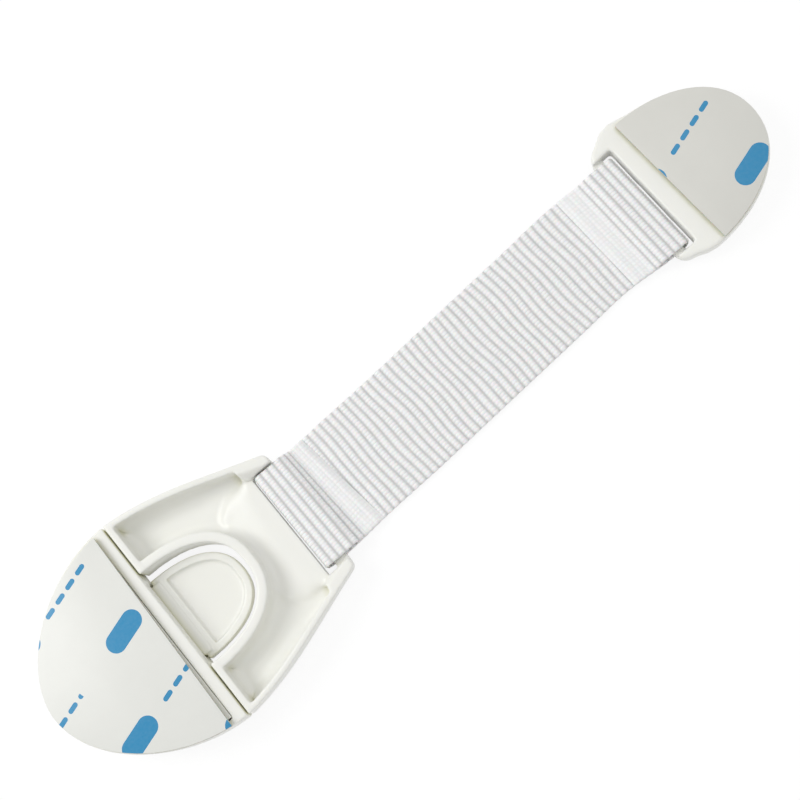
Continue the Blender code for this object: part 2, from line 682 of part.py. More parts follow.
def make_strap(cover_parent, anchor_parent_maker, material):
    """The strap from the cover to the anchor: a wrap, a folded end, plain runs, and the same again."""
    half = STRAP_WIDTH / 2
    bend_x = COVER_LENGTH + BAR_TO_BEND
    wrap = [(bend_x + x, z) for x, z in wrap_profile(COVER_BAR)]
    wrap_mesh = prism(wrap, STRAP_OFFSET - half, STRAP_OFFSET + half, upright=True)
    part("strap_latch_wrap", wrap_mesh, cover_parent, material)

    fold_place = (bend_x, STRAP_OFFSET, FOLD_AXIS_HEIGHT)
    fold = frame("latch_fold", cover_parent, fold_place, LATCH_BEND_TURN)
    at_floor = (0.0, 0.0, -FOLD_AXIS_HEIGHT)
    layer = strap_layer(FOLD_LENGTH, STRAP_LOW_MIDDLE, FOLD_GAP, BEND_GAP)
    part("strap_latch_fold", sheared(layer, LATCH_SHEAR), fold, material, at_floor)
    tail = prism(tail_profile(), -half, half, upright=True)
    part("strap_latch_tail", sheared(tail, LATCH_SHEAR), fold, material, at_floor)

    carrier = fold
    reach = (FOLD_LENGTH, LATCH_SHEAR, STRAP_LOW_MIDDLE - FOLD_AXIS_HEIGHT)
    to_floor = (0.0, 0.0, -STRAP_LOW_MIDDLE)
    for number in range(1, RUN_COUNT + 1):
        name = f"run_{number}"
        carrier = frame(name, carrier, reach, LATCH_BEND_TURN if name in LATCH_BENDS else 0.0)
        layer = strap_layer(RUN_LENGTH, STRAP_LOW_MIDDLE, BEND_GAP, BEND_GAP)
        part(f"strap_{name}", layer, carrier, material, to_floor)
        reach = (RUN_LENGTH, 0.0, 0.0)

    far_fold = frame("anchor_fold", carrier, reach, ANCHOR_BEND_TURN)
    layer = strap_layer(FOLD_LENGTH, STRAP_LOW_MIDDLE, BEND_GAP, FOLD_GAP)
    part("strap_anchor_fold", sheared(layer, ANCHOR_SHEAR), far_fold, material, to_floor)
    tail = prism(reversed_x(tail_profile(), FOLD_LENGTH), -half, half, upright=True)
    part("strap_anchor_tail", sheared(tail, ANCHOR_SHEAR), far_fold, material, to_floor)

    rise = FOLD_AXIS_HEIGHT - STRAP_LOW_MIDDLE
    anchor = frame("anchor", far_fold, (FOLD_LENGTH, ANCHOR_SHEAR, rise), ANCHOR_BEND_TURN)
    wrap = prism(reversed_x(wrap_profile(ANCHOR_BAR)), -half, half, upright=True)
    part("strap_anchor_wrap", wrap, anchor, material, at_floor)
    anchor_parent_maker(anchor)


def centre_on_floor(root):
    """Puts the middle of the whole part's footprint on the origin, with its lowest point on the floor."""
    bpy.context.view_layer.update()
    graph = bpy.context.evaluated_depsgraph_get()
    corners = []
    for obj in PARTS.objects:
        if obj.type != "MESH":
            continue
        mesh = obj.evaluated_get(graph).to_mesh()
        points = np.empty(len(mesh.vertices) * 3, np.float32)
        mesh.vertices.foreach_get("co", points)
        world = np.array(obj.matrix_world)
        points = points.reshape(-1, 3) @ world[:3, :3].T + world[:3, 3]
        corners += [points.min(axis=0), points.max(axis=0)]
    low, high = np.min(corners, axis=0), np.max(corners, axis=0)
    root.location = (-(low[0] + high[0]) / 2, -(low[1] + high[1]) / 2, -low[2])


clear_scene()
ivory = plastic("ivory_plastic", (0.86, 0.86, 0.80), 0.35)
button_ivory = plastic("button_plastic", (0.84, 0.84, 0.78), 0.35)
inner_plastic = plastic("inner_plastic", (0.80, 0.80, 0.76), 0.45)
foam = plastic("white_foam", (0.88, 0.88, 0.86), 0.8)
liner_paper = plastic("liner_paper", (0.84, 0.84, 0.80), 0.5)
webbing = plastic("white_webbing", (0.92, 0.92, 0.92), 0.85)

lock = frame("lock", None)
base = frame("base", lock)
make_cover(lock, ivory)
make_base_shell(base, ivory)
make_back_plate(base, inner_plastic)
tongue_frame = frame("tongue", base, (TONGUE_AXIS_X, 0.0, TONGUE_AXIS_HEIGHT))
make_tongue(tongue_frame, button_ivory)

base_tape = skewed(clip(inset(body_outline(), TAPE_INSET), TAPE_START, True), TAPE_SKEW)
base_peel = (TAPE_START, LINER_BASE)
base_liner_frame = frame("base_liner_edge", base, (base_peel[0], 0.0, base_peel[1]))
make_tape("base", base_tape, BODY_HEIGHT, base, base_liner_frame, base_peel, foam, liner_paper)


def make_anchor(anchor):
    make_anchor_plate(anchor, ivory)
    start = BAR_TO_BEND + ANCHOR_TAPE_START
    outline = skewed(clip(inset(anchor_outline(), TAPE_INSET), start, False), ANCHOR_TAPE_SKEW)
    edge = frame("anchor_liner_edge", anchor, (start, 0.0, ANCHOR_LINER_BASE - FOLD_AXIS_HEIGHT))
    peel = (start, ANCHOR_LINER_BASE)
    make_tape("anchor", outline, ANCHOR_HEIGHT, anchor, edge, peel, foam, liner_paper, FOLD_AXIS_HEIGHT)


make_strap(lock, make_anchor, webbing)
centre_on_floor(lock)
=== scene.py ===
"""Child safety lock, dressed for a studio picture: ivory moulded plastic, white ribbed webbing,
foam tape and printed peel-off liners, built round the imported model."""

import json
import math

import bmesh
import bpy
import numpy as np
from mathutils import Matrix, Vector
from mathutils.bvhtree import BVHTree


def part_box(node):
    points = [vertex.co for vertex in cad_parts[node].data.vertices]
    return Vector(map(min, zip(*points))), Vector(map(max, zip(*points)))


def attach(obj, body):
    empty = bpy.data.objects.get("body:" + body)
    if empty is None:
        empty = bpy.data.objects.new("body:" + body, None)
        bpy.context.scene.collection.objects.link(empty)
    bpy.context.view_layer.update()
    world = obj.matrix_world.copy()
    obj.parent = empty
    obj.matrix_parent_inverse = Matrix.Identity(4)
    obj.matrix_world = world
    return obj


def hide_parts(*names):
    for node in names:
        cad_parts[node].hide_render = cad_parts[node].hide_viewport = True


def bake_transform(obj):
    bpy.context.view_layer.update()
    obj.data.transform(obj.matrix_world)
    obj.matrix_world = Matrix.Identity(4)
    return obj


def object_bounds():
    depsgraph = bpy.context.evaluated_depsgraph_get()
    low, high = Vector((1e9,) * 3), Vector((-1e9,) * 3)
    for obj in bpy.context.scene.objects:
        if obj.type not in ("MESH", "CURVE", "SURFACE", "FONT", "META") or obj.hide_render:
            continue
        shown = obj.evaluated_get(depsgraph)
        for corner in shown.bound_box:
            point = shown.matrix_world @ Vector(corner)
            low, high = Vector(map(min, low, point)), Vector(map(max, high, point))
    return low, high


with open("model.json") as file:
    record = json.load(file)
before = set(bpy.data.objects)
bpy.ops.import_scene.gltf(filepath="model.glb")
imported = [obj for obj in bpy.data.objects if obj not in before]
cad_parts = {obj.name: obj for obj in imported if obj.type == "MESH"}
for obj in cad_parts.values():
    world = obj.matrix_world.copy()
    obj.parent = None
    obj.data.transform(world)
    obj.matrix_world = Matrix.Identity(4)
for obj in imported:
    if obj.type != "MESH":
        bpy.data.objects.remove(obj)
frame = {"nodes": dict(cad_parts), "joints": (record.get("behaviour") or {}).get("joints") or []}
CAD_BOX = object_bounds()


# Camera: a normal lens, a little to the lock's near side, looking down on the adhesive faces. Its
# place was fitted to the photograph's outlines, with the image taken as 800 pixels wide.
CAMERA_PLACE = (-0.0004, -0.0729, 0.3955)
CAMERA_TURN = (0.1545, 0.1248, -0.6886)
FOCAL_PIXELS = 1870
PHOTO_PIXELS = 800

camera = bpy.data.cameras.new("camera")
camera.lens = camera.sensor_width * FOCAL_PIXELS / PHOTO_PIXELS
camera_object = bpy.data.objects.new("camera", camera)
camera_object.location = CAMERA_PLACE
camera_object.rotation_euler = CAMERA_TURN
bpy.context.scene.collection.objects.link(camera_object)
bpy.context.scene.camera = camera_object
bpy.context.scene.view_settings.view_transform = "Standard"


# Light: a large soft box at the far side, a weaker one nearly overhead, and an even pale room. What
# the camera sees of the room is white, and its light on the lock is weaker than that.
ROOM_LIGHT = 0.64
KEY_LIGHT = {"place": (-0.50, 0.42, 0.64), "size": 0.45, "power": 3.1}
FILL_LIGHT = {"place": (0.30, 0.10, 0.90), "size": 0.60, "power": 1.0}


def node_tree(block):
    block.use_nodes = True
    block.node_tree.nodes.clear()
    return block.node_tree


def wire(tree, kind, inputs=(), **settings):
    """Adds a node, sets its options, and fills its inputs with values or with other nodes' outputs."""
    node = tree.nodes.new(kind)
    for key, value in settings.items():
        setattr(node, key, value)
    for key, value in dict(inputs).items():
        if isinstance(value, bpy.types.NodeSocket):
            tree.links.new(value, node.inputs[key])
        else:
            node.inputs[key].default_value = value
    return node


def seen_directly(tree):
    """1 for what the camera sees itself, or in a gloss or through a clear piece, and 0 for light."""
    path = wire(tree, "ShaderNodeLightPath")
    glossy = wire(tree, "ShaderNodeMath",
                  {0: path.outputs["Is Camera Ray"], 1: path.outputs["Is Glossy Ray"]}, operation="MAXIMUM")
    return wire(tree, "ShaderNodeMath", {0: glossy.outputs[0], 1: path.outputs["Is Transmission Ray"]},
                operation="MAXIMUM").outputs[0]


def soft_box(name, place, size, power):
    """A round soft lamp that shines on the lock's middle."""
    lamp = bpy.data.lights.new(name, "AREA")
    lamp.shape = "DISK"
    lamp.size = size
    lamp.energy = power
    lamp_object = bpy.data.objects.new(name, lamp)
    lamp_object.location = place
    lamp_object.rotation_euler = (-Vector(place)).to_track_quat("-Z", "Y").to_euler()
    bpy.context.scene.collection.objects.link(lamp_object)


soft_box("key_light", **KEY_LIGHT)
soft_box("fill_light", **FILL_LIGHT)
world = bpy.data.worlds.new("room")
bpy.context.scene.world = world
tree = node_tree(world)
room = wire(tree, "ShaderNodeBackground", {"Color": (1, 1, 1, 1), "Strength": ROOM_LIGHT})
white = wire(tree, "ShaderNodeBackground", {"Color": (1, 1, 1, 1), "Strength": 1.0})
both = wire(tree, "ShaderNodeMixShader", {0: seen_directly(tree), 1: room.outputs[0], 2: white.outputs[0]})
wire(tree, "ShaderNodeOutputWorld", {"Surface": both.outputs[0]})


# Floor: a wide white table that the lock lies on. Most of it shines by itself where it is seen, so it
# keeps only a faint shadow, as in the photograph.
MM = 0.001
FLOOR_HALF = 1.5
FLOOR_GLOW = 1.03
FLOOR_DROP = 0.05 * MM
SHADOW_SHARE = 0.16


def linked(name, shape):
    """A new object in the scene, with this shape as its mesh."""
    mesh = bpy.data.meshes.new(name)
    shape.to_mesh(mesh)
    shape.free()
    piece = bpy.data.objects.new(name, mesh)
    bpy.context.scene.collection.objects.link(piece)
    return piece


shape = bmesh.new()
bmesh.ops.create_grid(shape, x_segments=1, y_segments=1, size=FLOOR_HALF)
bmesh.ops.translate(shape, vec=(0, 0, CAD_BOX[0][2] - FLOOR_DROP), verts=shape.verts)
floor = linked("floor", shape)
table = bpy.data.materials.new("white_table")
tree = node_tree(table)
lit = wire(tree, "ShaderNodeBsdfDiffuse", {"Color": (0.93, 0.93, 0.93, 1)})
bright = wire(tree, "ShaderNodeEmission", {"Color": (1, 1, 1, 1), "Strength": FLOOR_GLOW})
share = wire(tree, "ShaderNodeMath", {0: seen_directly(tree), 1: 1 - SHADOW_SHARE}, operation="MULTIPLY")
mixed = wire(tree, "ShaderNodeMixShader", {0: share.outputs[0], 1: lit.outputs[0], 2: bright.outputs[0]})
wire(tree, "ShaderNodeOutputMaterial", {"Surface": mixed.outputs[0]})
floor.data.materials.append(table)


# Latch cover: one thin ivory moulding, a rim round two pockets and a D-shaped window, with a low
# disc that climbs to the strap's slot. Moulding leaves its edges soft and its corners filled.
IVORY = (0.865, 0.865, 0.825, 1)
IVORY_DEEP = (0.845, 0.845, 0.795, 1)
COVER_VOXEL = 0.28 * MM
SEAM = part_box("base_shell")[1].x
SLOT_CLEARANCE = 3.2 * MM
FILLET_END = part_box("strap_latch_wrap")[0].x - SLOT_CLEARANCE
POCKET_FILLET = 2.2 * MM
POCKET_FADE = 4 * MM
RIM_FILLET = 4.0 * MM
RIM_FADE = 11 * MM
RIM_WIDTH = 1.9 * MM
LEAST_FILLET = 0.12
FLOOR_LEVEL_LIMIT = 4.3 * MM
WALL_TILT = 0.35
WALL_LOOK = 0.6 * MM
SKIN = 0.15 * MM
WALL_SLACK = 0.3 * MM
FLOOR_SLACK = 0.4 * MM
EAR_LENGTH = 7 * MM
EAR_FADE = 2 * MM
EAR_SLOPE = 1.3
EAR_SOFT_REACH = 1.6 * MM
EAR_ROUNDS = 60
EAR_LOW = 1.6 * MM
OUTLINE_LEVEL = 1.5 * MM
FLOOR_LOW = 1.2 * MM
FLOOR_HIGH = 3.6 * MM
FLOOR_ROUNDS = 30
WALL_CLEARANCE = 2.5 * MM
# Painted shade: an olive tone painted into the plastic's recesses, placed by the closed-in mask below.
RECESS_PAINTED_SHADE = (0.70, 0.69, 0.50, 1)
RECESS_REACH = 5 * MM
RECESS_LIFT = 0.12 * MM
RECESS_RAYS = 8
RECESS_LEANS = (1.3, 0.75)
RECESS_ROUNDS = 8
RECESS_START = 0.18
RECESS_SPAN = 0.5
RECESS_NODES = {"latch_cover": "cover_moulding", "base_shell": "base_moulding",
                "release_tongue": "tongue_moulding", "anchor_plate": "anchor_moulding",
                "base_foam_pad": None, "anchor_foam_pad": None}
DOWN, UP = Vector((0, 0, -1)), Vector((0, 0, 1))


def object_point(tree):
    return wire(tree, "ShaderNodeTexCoord").outputs["Object"]


def mixed_tint(tree, share, first, second, blend_type="MIX"):
    node = wire(tree, "ShaderNodeMix", {0: share}, data_type="RGBA", blend_type=blend_type)
    for index, value in ((6, first), (7, second)):
        if isinstance(value, bpy.types.NodeSocket):
            tree.links.new(value, node.inputs[index])
        else:
            node.inputs[index].default_value = value
    return node.outputs[2]


def moulded_plastic(name, light, deep, roughness, grain):
    """Satin plastic: a faint tint change from the melt's flow, painted shade in recesses, and the mould's
    fine grain.
    """
    material = bpy.data.materials.new(name)
    tree = node_tree(material)
    point = object_point(tree)
    flow = wire(tree, "ShaderNodeTexNoise", {"Vector": point, "Scale": 90, "Detail": 3, "Roughness": 0.5})
    tint = mixed_tint(tree, flow.outputs["Fac"], light, deep)
    # Painted shade: the recesses are mixed towards an olive tone by how closed-in each point is.
    painted_recess_shade = wire(tree, "ShaderNodeAttribute", attribute_name="painted_recess_shade", attribute_type="GEOMETRY")
    tint = mixed_tint(tree, painted_recess_shade.outputs["Fac"], tint, RECESS_PAINTED_SHADE)
    sheen = wire(tree, "ShaderNodeTexNoise", {"Vector": point, "Scale": 420, "Detail": 4, "Roughness": 0.6})
    rough = wire(tree, "ShaderNodeMapRange",
                 {"Value": sheen.outputs["Fac"], "To Min": roughness - 0.05, "To Max": roughness + 0.06})
    sand = wire(tree, "ShaderNodeTexNoise", {"Vector": point, "Scale": 5200, "Detail": 2, "Roughness": 0.5})
    bump = wire(tree, "ShaderNodeBump",
                {"Height": sand.outputs["Fac"], "Strength": grain, "Distance": 0.02 * MM})
    plastic = wire(tree, "ShaderNodeBsdfPrincipled",
                   {"Base Color": tint, "Roughness": rough.outputs["Result"],
                    "Normal": bump.outputs["Normal"], "IOR": 1.5,
                    "Subsurface Weight": 0.12, "Subsurface Radius": (1.0, 0.95, 0.8),
                    "Subsurface Scale": 0.0012})
    wire(tree, "ShaderNodeOutputMaterial", {"Surface": plastic.outputs[0]})
    return material


def evaluated_mesh(piece):
    """The piece's mesh with its modifiers applied, in place of the old one."""
    graph = bpy.context.evaluated_depsgraph_get()
    mesh = bpy.data.meshes.new_from_object(piece.evaluated_get(graph))
    piece.modifiers.clear()
    piece.data = mesh


def smooth_points(piece, rounds, chosen=lambda vertex: True):
    """Evens out the chosen points of a piece against their neighbours."""
    fine = bmesh.new()
    fine.from_mesh(piece.data)
    fine.normal_update()
    points = [vertex for vertex in fine.verts if chosen(vertex)]
    for _ in range(rounds):
        bmesh.ops.smooth_vert(fine, verts=points, factor=0.5, use_axis_x=True, use_axis_y=True,
                              use_axis_z=True)
    fine.to_mesh(piece.data)
    fine.free()


def soft_copy(node, name, voxel, rounds):
    """The CAD node as an even fine mesh whose edges are smoothed round, as a mould leaves them."""
    source = bmesh.new()
    source.from_mesh(frame["nodes"][node].data)
    bmesh.ops.remove_doubles(source, verts=source.verts, dist=1e-6)
    piece = linked(name, source)
    remesh = piece.modifiers.new("even_mesh", "REMESH")
    remesh.mode = "VOXEL"
    remesh.voxel_size = voxel
    bpy.context.view_layer.update()
    evaluated_mesh(piece)
    smooth_points(piece, rounds)
    piece.data.shade_smooth()
    return piece


def solid_tree(mesh):
    """A mesh in the form that rays can be cast at."""
    return BVHTree.FromPolygons([vertex.co.copy() for vertex in mesh.vertices],
                                [tuple(face.vertices) for face in mesh.polygons])


def inner_walls(cad, solid, level_limit):
    """The faces that look into a hollow: steep ones with a floor below the limit just in front of them."""
    looking_in = []
    for face in cad.polygons:
        if abs(face.normal.z) < WALL_TILT:
            below = solid.ray_cast(face.center + face.normal * WALL_LOOK, DOWN)[0]
            if below is not None and below.z < level_limit:
                looking_in.append(tuple(face.vertices))
    return BVHTree.FromPolygons([vertex.co.copy() for vertex in cad.vertices], looking_in)


def fill_corners(piece, node, radius_at, widest, level_limit):
    """Rounds the inner corners where a hollow's walls meet its floor, by moving the fine mesh's points."""
    cad = frame["nodes"][node].data
    solid = solid_tree(cad)
    walls = inner_walls(cad, solid, level_limit)
    facings = [vertex.normal.copy() for vertex in piece.data.vertices]
    for vertex, facing in zip(piece.data.vertices, facings):
        place = vertex.co
        if place.z > level_limit + widest or solid.ray_cast(place + facing * SKIN, UP)[0] is not None:
            continue
        wall, normal, _, _ = walls.find_nearest(Vector((place.x, place.y, level_limit)), widest)
        if wall is None:
            continue
        normal = Vector((normal.x, normal.y, 0)).normalized()
        radius = radius_at(place, normal)
        away = (place.x - wall.x) * normal.x + (place.y - wall.y) * normal.y
        if away < -WALL_SLACK:
            continue
        foot = wall + normal * max(away, WALL_SLACK)
        below = solid.ray_cast(Vector((foot.x, foot.y, level_limit)), DOWN)[0]
        if below is None:
            continue
        height = place.z - below.z
        if height > radius or height < -FLOOR_SLACK:
            continue
        out, rise = max(away, 0.0) - radius, height - radius
        reach = math.hypot(out, rise)
        if reach > radius:
            place.x += normal.x * (radius + out * radius / reach - away)
            place.y += normal.y * (radius + out * radius / reach - away)
            place.z = below.z + radius + rise * radius / reach


def cover_fillet(place, normal):
    """Wide under the outer rim, and shrinking towards the slot, where the strap needs square corners."""
    if normal.y * math.copysign(1, place.y) < -0.5:
        return RIM_FILLET * min(max((FILLET_END - place.x) / RIM_FADE, LEAST_FILLET), 1.0)
    return POCKET_FILLET * min(max((FILLET_END - place.x) / POCKET_FADE, LEAST_FILLET), 1.0)


def slope_ears(piece):
    """Lets the rim run out as a narrow ridge at each side of the slot, with a slope down to the disc."""
    solid = solid_tree(frame["nodes"]["latch_cover"].data)
    disc_top = solid.ray_cast(Vector((FILLET_END, 0, 1)), DOWN)[0].z
    soft = set()
    for vertex in piece.data.vertices:
        place = vertex.co
        if place.x < FILLET_END - EAR_LENGTH or place.z < EAR_LOW:
            continue
        side = math.copysign(1, place.y)
        outline = solid.ray_cast(Vector((place.x, side, OUTLINE_LEVEL)), Vector((0, -side, 0)))[0]
        if outline is None:
            continue
        inside = abs(outline.y) - abs(place.y) - RIM_WIDTH
        share = min(1.0, (place.x - FILLET_END + EAR_LENGTH) / EAR_FADE)
        if inside > 0:
            place.z = max(min(place.z, disc_top), place.z - inside * EAR_SLOPE * share)
            if place.x < FILLET_END + EAR_SOFT_REACH:
                soft.add(vertex.index)
    smooth_points(piece, EAR_ROUNDS, lambda vertex: vertex.index in soft)


def on_cover_floor(vertex):
    """True on what looks up between the seam and the slot: the pockets' floor and the disc's low step."""
    return (FLOOR_LOW < vertex.co.z < FLOOR_HIGH and SEAM + WALL_CLEARANCE < vertex.co.x < FILLET_END
            and vertex.normal.z > -0.1)


def piece_box(piece):
    points = np.array([vertex.co[:] for vertex in piece.data.vertices])
    return points.min(axis=0), points.max(axis=0)


def paint_recess_shade(piece):
    """Stores how closed-in each point is, for painted shade: a deeper, yellower tone painted into the
    recesses.
    """
    trees = [solid_tree(piece.data)]
    for node, dressed_as in RECESS_NODES.items():
        low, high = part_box(node)
        near = all(own_low - RECESS_REACH < theirs_high and theirs_low < own_high + RECESS_REACH
                   for own_low, own_high, theirs_low, theirs_high in zip(*piece_box(piece), low, high))
        if near and dressed_as != piece.name:
            trees.append(solid_tree(frame["nodes"][node].data))
    facings = [vertex.normal.copy() for vertex in piece.data.vertices]
    closed = np.zeros(len(facings))
    for index, (vertex, facing) in enumerate(zip(piece.data.vertices, facings)):
        if facing.z < -0.3:
            continue
        side = facing.orthogonal().normalized()
        start = vertex.co + facing * RECESS_LIFT
        other = facing.cross(side)
        for turn in range(RECESS_RAYS):
            angle = math.radians(360 / RECESS_RAYS * turn)
            lean = RECESS_LEANS[turn % 2]
            ray = (facing + (side * math.cos(angle) + other * math.sin(angle)) * lean).normalized()
            for tree in trees:
                distance = tree.ray_cast(start, ray, RECESS_REACH)[3]
                if distance is not None:
                    closed[index] += (1 - distance / RECESS_REACH) / RECESS_RAYS
                    break
    edges = np.array([edge.vertices[:] for edge in piece.data.edges])
    counts = np.bincount(edges.ravel(), minlength=len(closed)) + 1
    for _ in range(RECESS_ROUNDS):
        total = closed.copy()
        np.add.at(total, edges[:, 0], closed[edges[:, 1]])
        np.add.at(total, edges[:, 1], closed[edges[:, 0]])
        closed = total / counts
    share = np.clip((closed - RECESS_START) / RECESS_SPAN, 0, 1)
    piece.data.attributes.new("painted_recess_shade", "FLOAT", "POINT").data.foreach_set("value", share.astype(np.float32))


ivory_plastic = moulded_plastic("ivory_plastic", IVORY, IVORY_DEEP, 0.36, 0.12)
cover = soft_copy("latch_cover", "cover_moulding", COVER_VOXEL, rounds=1)
fill_corners(cover, "latch_cover", cover_fillet, RIM_FILLET, FLOOR_LEVEL_LIMIT)
slope_ears(cover)
smooth_points(cover, FLOOR_ROUNDS, on_cover_floor)
smooth_points(cover, 2)
paint_recess_shade(cover)
cover.data.materials.append(ivory_plastic)
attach(cover, "cover")
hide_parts("latch_cover")


# Base shell: the half-moon that is stuck to the door, moulded from the same ivory plastic as the
# cover. The cover's prongs and the tongue's tail go into the openings in its straight side.
BASE_VOXEL = 0.32 * MM

base_shell = soft_copy("base_shell", "base_moulding", BASE_VOXEL, rounds=3)
paint_recess_shade(base_shell)
base_shell.data.materials.append(ivory_plastic)
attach(base_shell, "base")
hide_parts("base_shell")


# Back plate: a plain moulded lid of a duller plastic, pushed into the base's hollow with a little
# play. The foam tape hides it.
PLATE_TINT = (0.80, 0.80, 0.74, 1)
PLATE_TINT_DEEP = (0.77, 0.77, 0.70, 1)
PLATE_FIT = 0.2 * MM
PLATE_BEVEL = 0.15 * MM
SHARP_TURN = 0.6

inner_plastic = moulded_plastic("inner_plastic", PLATE_TINT, PLATE_TINT_DEEP, 0.45, 0.2)
shape = bmesh.new()
shape.from_mesh(frame["nodes"]["base_back_plate"].data)
bmesh.ops.remove_doubles(shape, verts=shape.verts, dist=1e-6)
plate_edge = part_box("base_back_plate")[1].x
for vertex in shape.verts:
    if vertex.co.x > plate_edge - PLATE_FIT:
        vertex.co.x += PLATE_FIT
bmesh.ops.bevel(shape, geom=[edge for edge in shape.edges if edge.calc_face_angle(0) > SHARP_TURN],
                offset=PLATE_BEVEL, segments=2, profile=0.5, affect="EDGES")
back_plate = linked("base_inner_plate", shape)
back_plate.data.materials.append(inner_plastic)
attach(back_plate, "base")
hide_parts("base_back_plate")


# Release tongue: a sprung D in the window, moulded with a dish inside a raised rim. Its tail rocks in
# the base, and pressing the D lets go of the cover's prongs.
TONGUE_TINT = (0.84, 0.84, 0.795, 1)
TONGUE_VOXEL = 0.2 * MM
DISH_FILLET = 0.9 * MM
DISH_LEVEL_LIMIT = 2.4 * MM

tongue_plastic = moulded_plastic("tongue_plastic", TONGUE_TINT, IVORY_DEEP, 0.34, 0.12)
tongue = soft_copy("release_tongue", "tongue_moulding", TONGUE_VOXEL, rounds=1)
fill_corners(tongue, "release_tongue", lambda place, normal: DISH_FILLET, DISH_FILLET, DISH_LEVEL_LIMIT)
smooth_points(tongue, 2)
paint_recess_shade(tongue)
tongue.data.materials.append(tongue_plastic)
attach(tongue, "tongue")
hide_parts("release_tongue")


# Anchor plate: a small solid moulding of ivory plastic, with a slot and a bar at its straight side
# for the strap. One ear beside the slot stands out a little further than the other.
EAR_SWELL = 1.0 * MM
EAR_SWELL_PLACE = 6.5 * MM
EAR_SWELL_REACH = 7.5 * MM
EAR_SWELL_START = 0.7
EAR_SWELL_RISE = 0.2

anchor_plate = soft_copy("anchor_plate", "anchor_moulding", COVER_VOXEL, rounds=6)
plate_low, plate_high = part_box("anchor_plate")
plate_middle = (plate_low.y + plate_high.y) / 2
for vertex in anchor_plate.data.vertices:
    along = (vertex.co.x - plate_low.x - EAR_SWELL_PLACE) / EAR_SWELL_REACH
    across = (vertex.co.y - plate_middle) / (plate_high.y - plate_middle)
    if abs(along) < 1 and across > EAR_SWELL_START:
        rise = min(1.0, (across - EAR_SWELL_START) / EAR_SWELL_RISE)
        vertex.co.y += EAR_SWELL * (1 + math.cos(math.pi * along)) / 2 * rise
paint_recess_shade(anchor_plate)
anchor_plate.data.materials.append(ivory_plastic)
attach(anchor_plate, "anchor")
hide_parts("anchor_plate")


# Foam pads: double-sided tape of closed-cell foam, die-cut to the shape of the plastic piece that
# each is stuck to. The glue on it makes it greyer than the plastic.
PAD_VOXEL = 0.25 * MM
CELL_SCALE = 3000
FOAM_TINT = (0.60, 0.595, 0.53, 1)
FOAM_TINT_DEEP = (0.46, 0.455, 0.39, 1)
PADS = {"base_foam_pad": ("base_tape_foam", "base"), "anchor_foam_pad": ("anchor_tape_foam", "anchor")}

foam = bpy.data.materials.new("closed_cell_foam")
tree = node_tree(foam)
cells = wire(tree, "ShaderNodeTexVoronoi", {"Vector": object_point(tree), "Scale": CELL_SCALE})
shade = mixed_tint(tree, cells.outputs["Distance"], FOAM_TINT_DEEP, FOAM_TINT)
bump = wire(tree, "ShaderNodeBump",
            {"Height": cells.outputs["Distance"], "Strength": 0.5, "Distance": 0.06 * MM})
body = wire(tree, "ShaderNodeBsdfPrincipled",
            {"Base Color": shade, "Roughness": 0.85, "Normal": bump.outputs["Normal"],
             "Subsurface Weight": 0.2, "Subsurface Scale": 0.001})
wire(tree, "ShaderNodeOutputMaterial", {"Surface": body.outputs[0]})
for node, (name, carrier) in PADS.items():
    pad = soft_copy(node, name, PAD_VOXEL, rounds=2)
    pad.data.materials.append(foam)
    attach(pad, carrier)
    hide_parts(node)


# Liners: waxed off-white paper over each pad, die-cut with it and peeled off before use. They are
# printed in blue with staggered rows of plain bars and dashes.
LINER_EDGE = 0.03 * MM
PAPER = (0.775, 0.78, 0.74, 1)
PAPER_GREY = (0.68, 0.675, 0.63, 1)
PRINT_BLUE = (0.003, 0.235, 0.47, 1)
ROW_STEP = 15.5 * MM
ROW_TURN = math.radians(17)
PRINT_STEP = 39.3 * MM
ROW_SHIFT = 16.2 * MM
BAR_LENGTH = 10.2 * MM
BAR_RADIUS = 2.3 * MM
DASHES_PLACE = 16.0 * MM
DASHES_LENGTH = 14.8 * MM
DASH_STEP = 3.7 * MM
DASH_LENGTH = 2.7 * MM
DASH_RADIUS = 0.55 * MM
LINERS = {"base_liner": ("base_release_liner", PAPER, (-75.1 * MM, 4.7 * MM, 0)),
          "anchor_liner": ("anchor_release_liner", PAPER_GREY, (89.9 * MM, -4.6 * MM, 0))}


def reckon(tree, operation, first, second=0.0):
    return wire(tree, "ShaderNodeMath", {0: first, 1: second}, operation=operation).outputs[0]


def repeated(tree, place, step):
    """The distance from the nearest of the marks that are one step apart."""
    moved = reckon(tree, "FLOORED_MODULO", reckon(tree, "ADD", place, step / 2), step)
    return reckon(tree, "ABSOLUTE", reckon(tree, "SUBTRACT", moved, step / 2))


def round_bar(tree, along, across, length, radius):
    """1 inside a round-ended bar of this length and radius, and 0 outside it."""
    past = reckon(tree, "MAXIMUM", reckon(tree, "SUBTRACT", along, length / 2 - radius), 0.0)
    span = reckon(tree, "SQRT", reckon(tree, "ADD", reckon(tree, "MULTIPLY", past, past),
                                       reckon(tree, "MULTIPLY", across, across)))
    return reckon(tree, "LESS_THAN", span, radius)


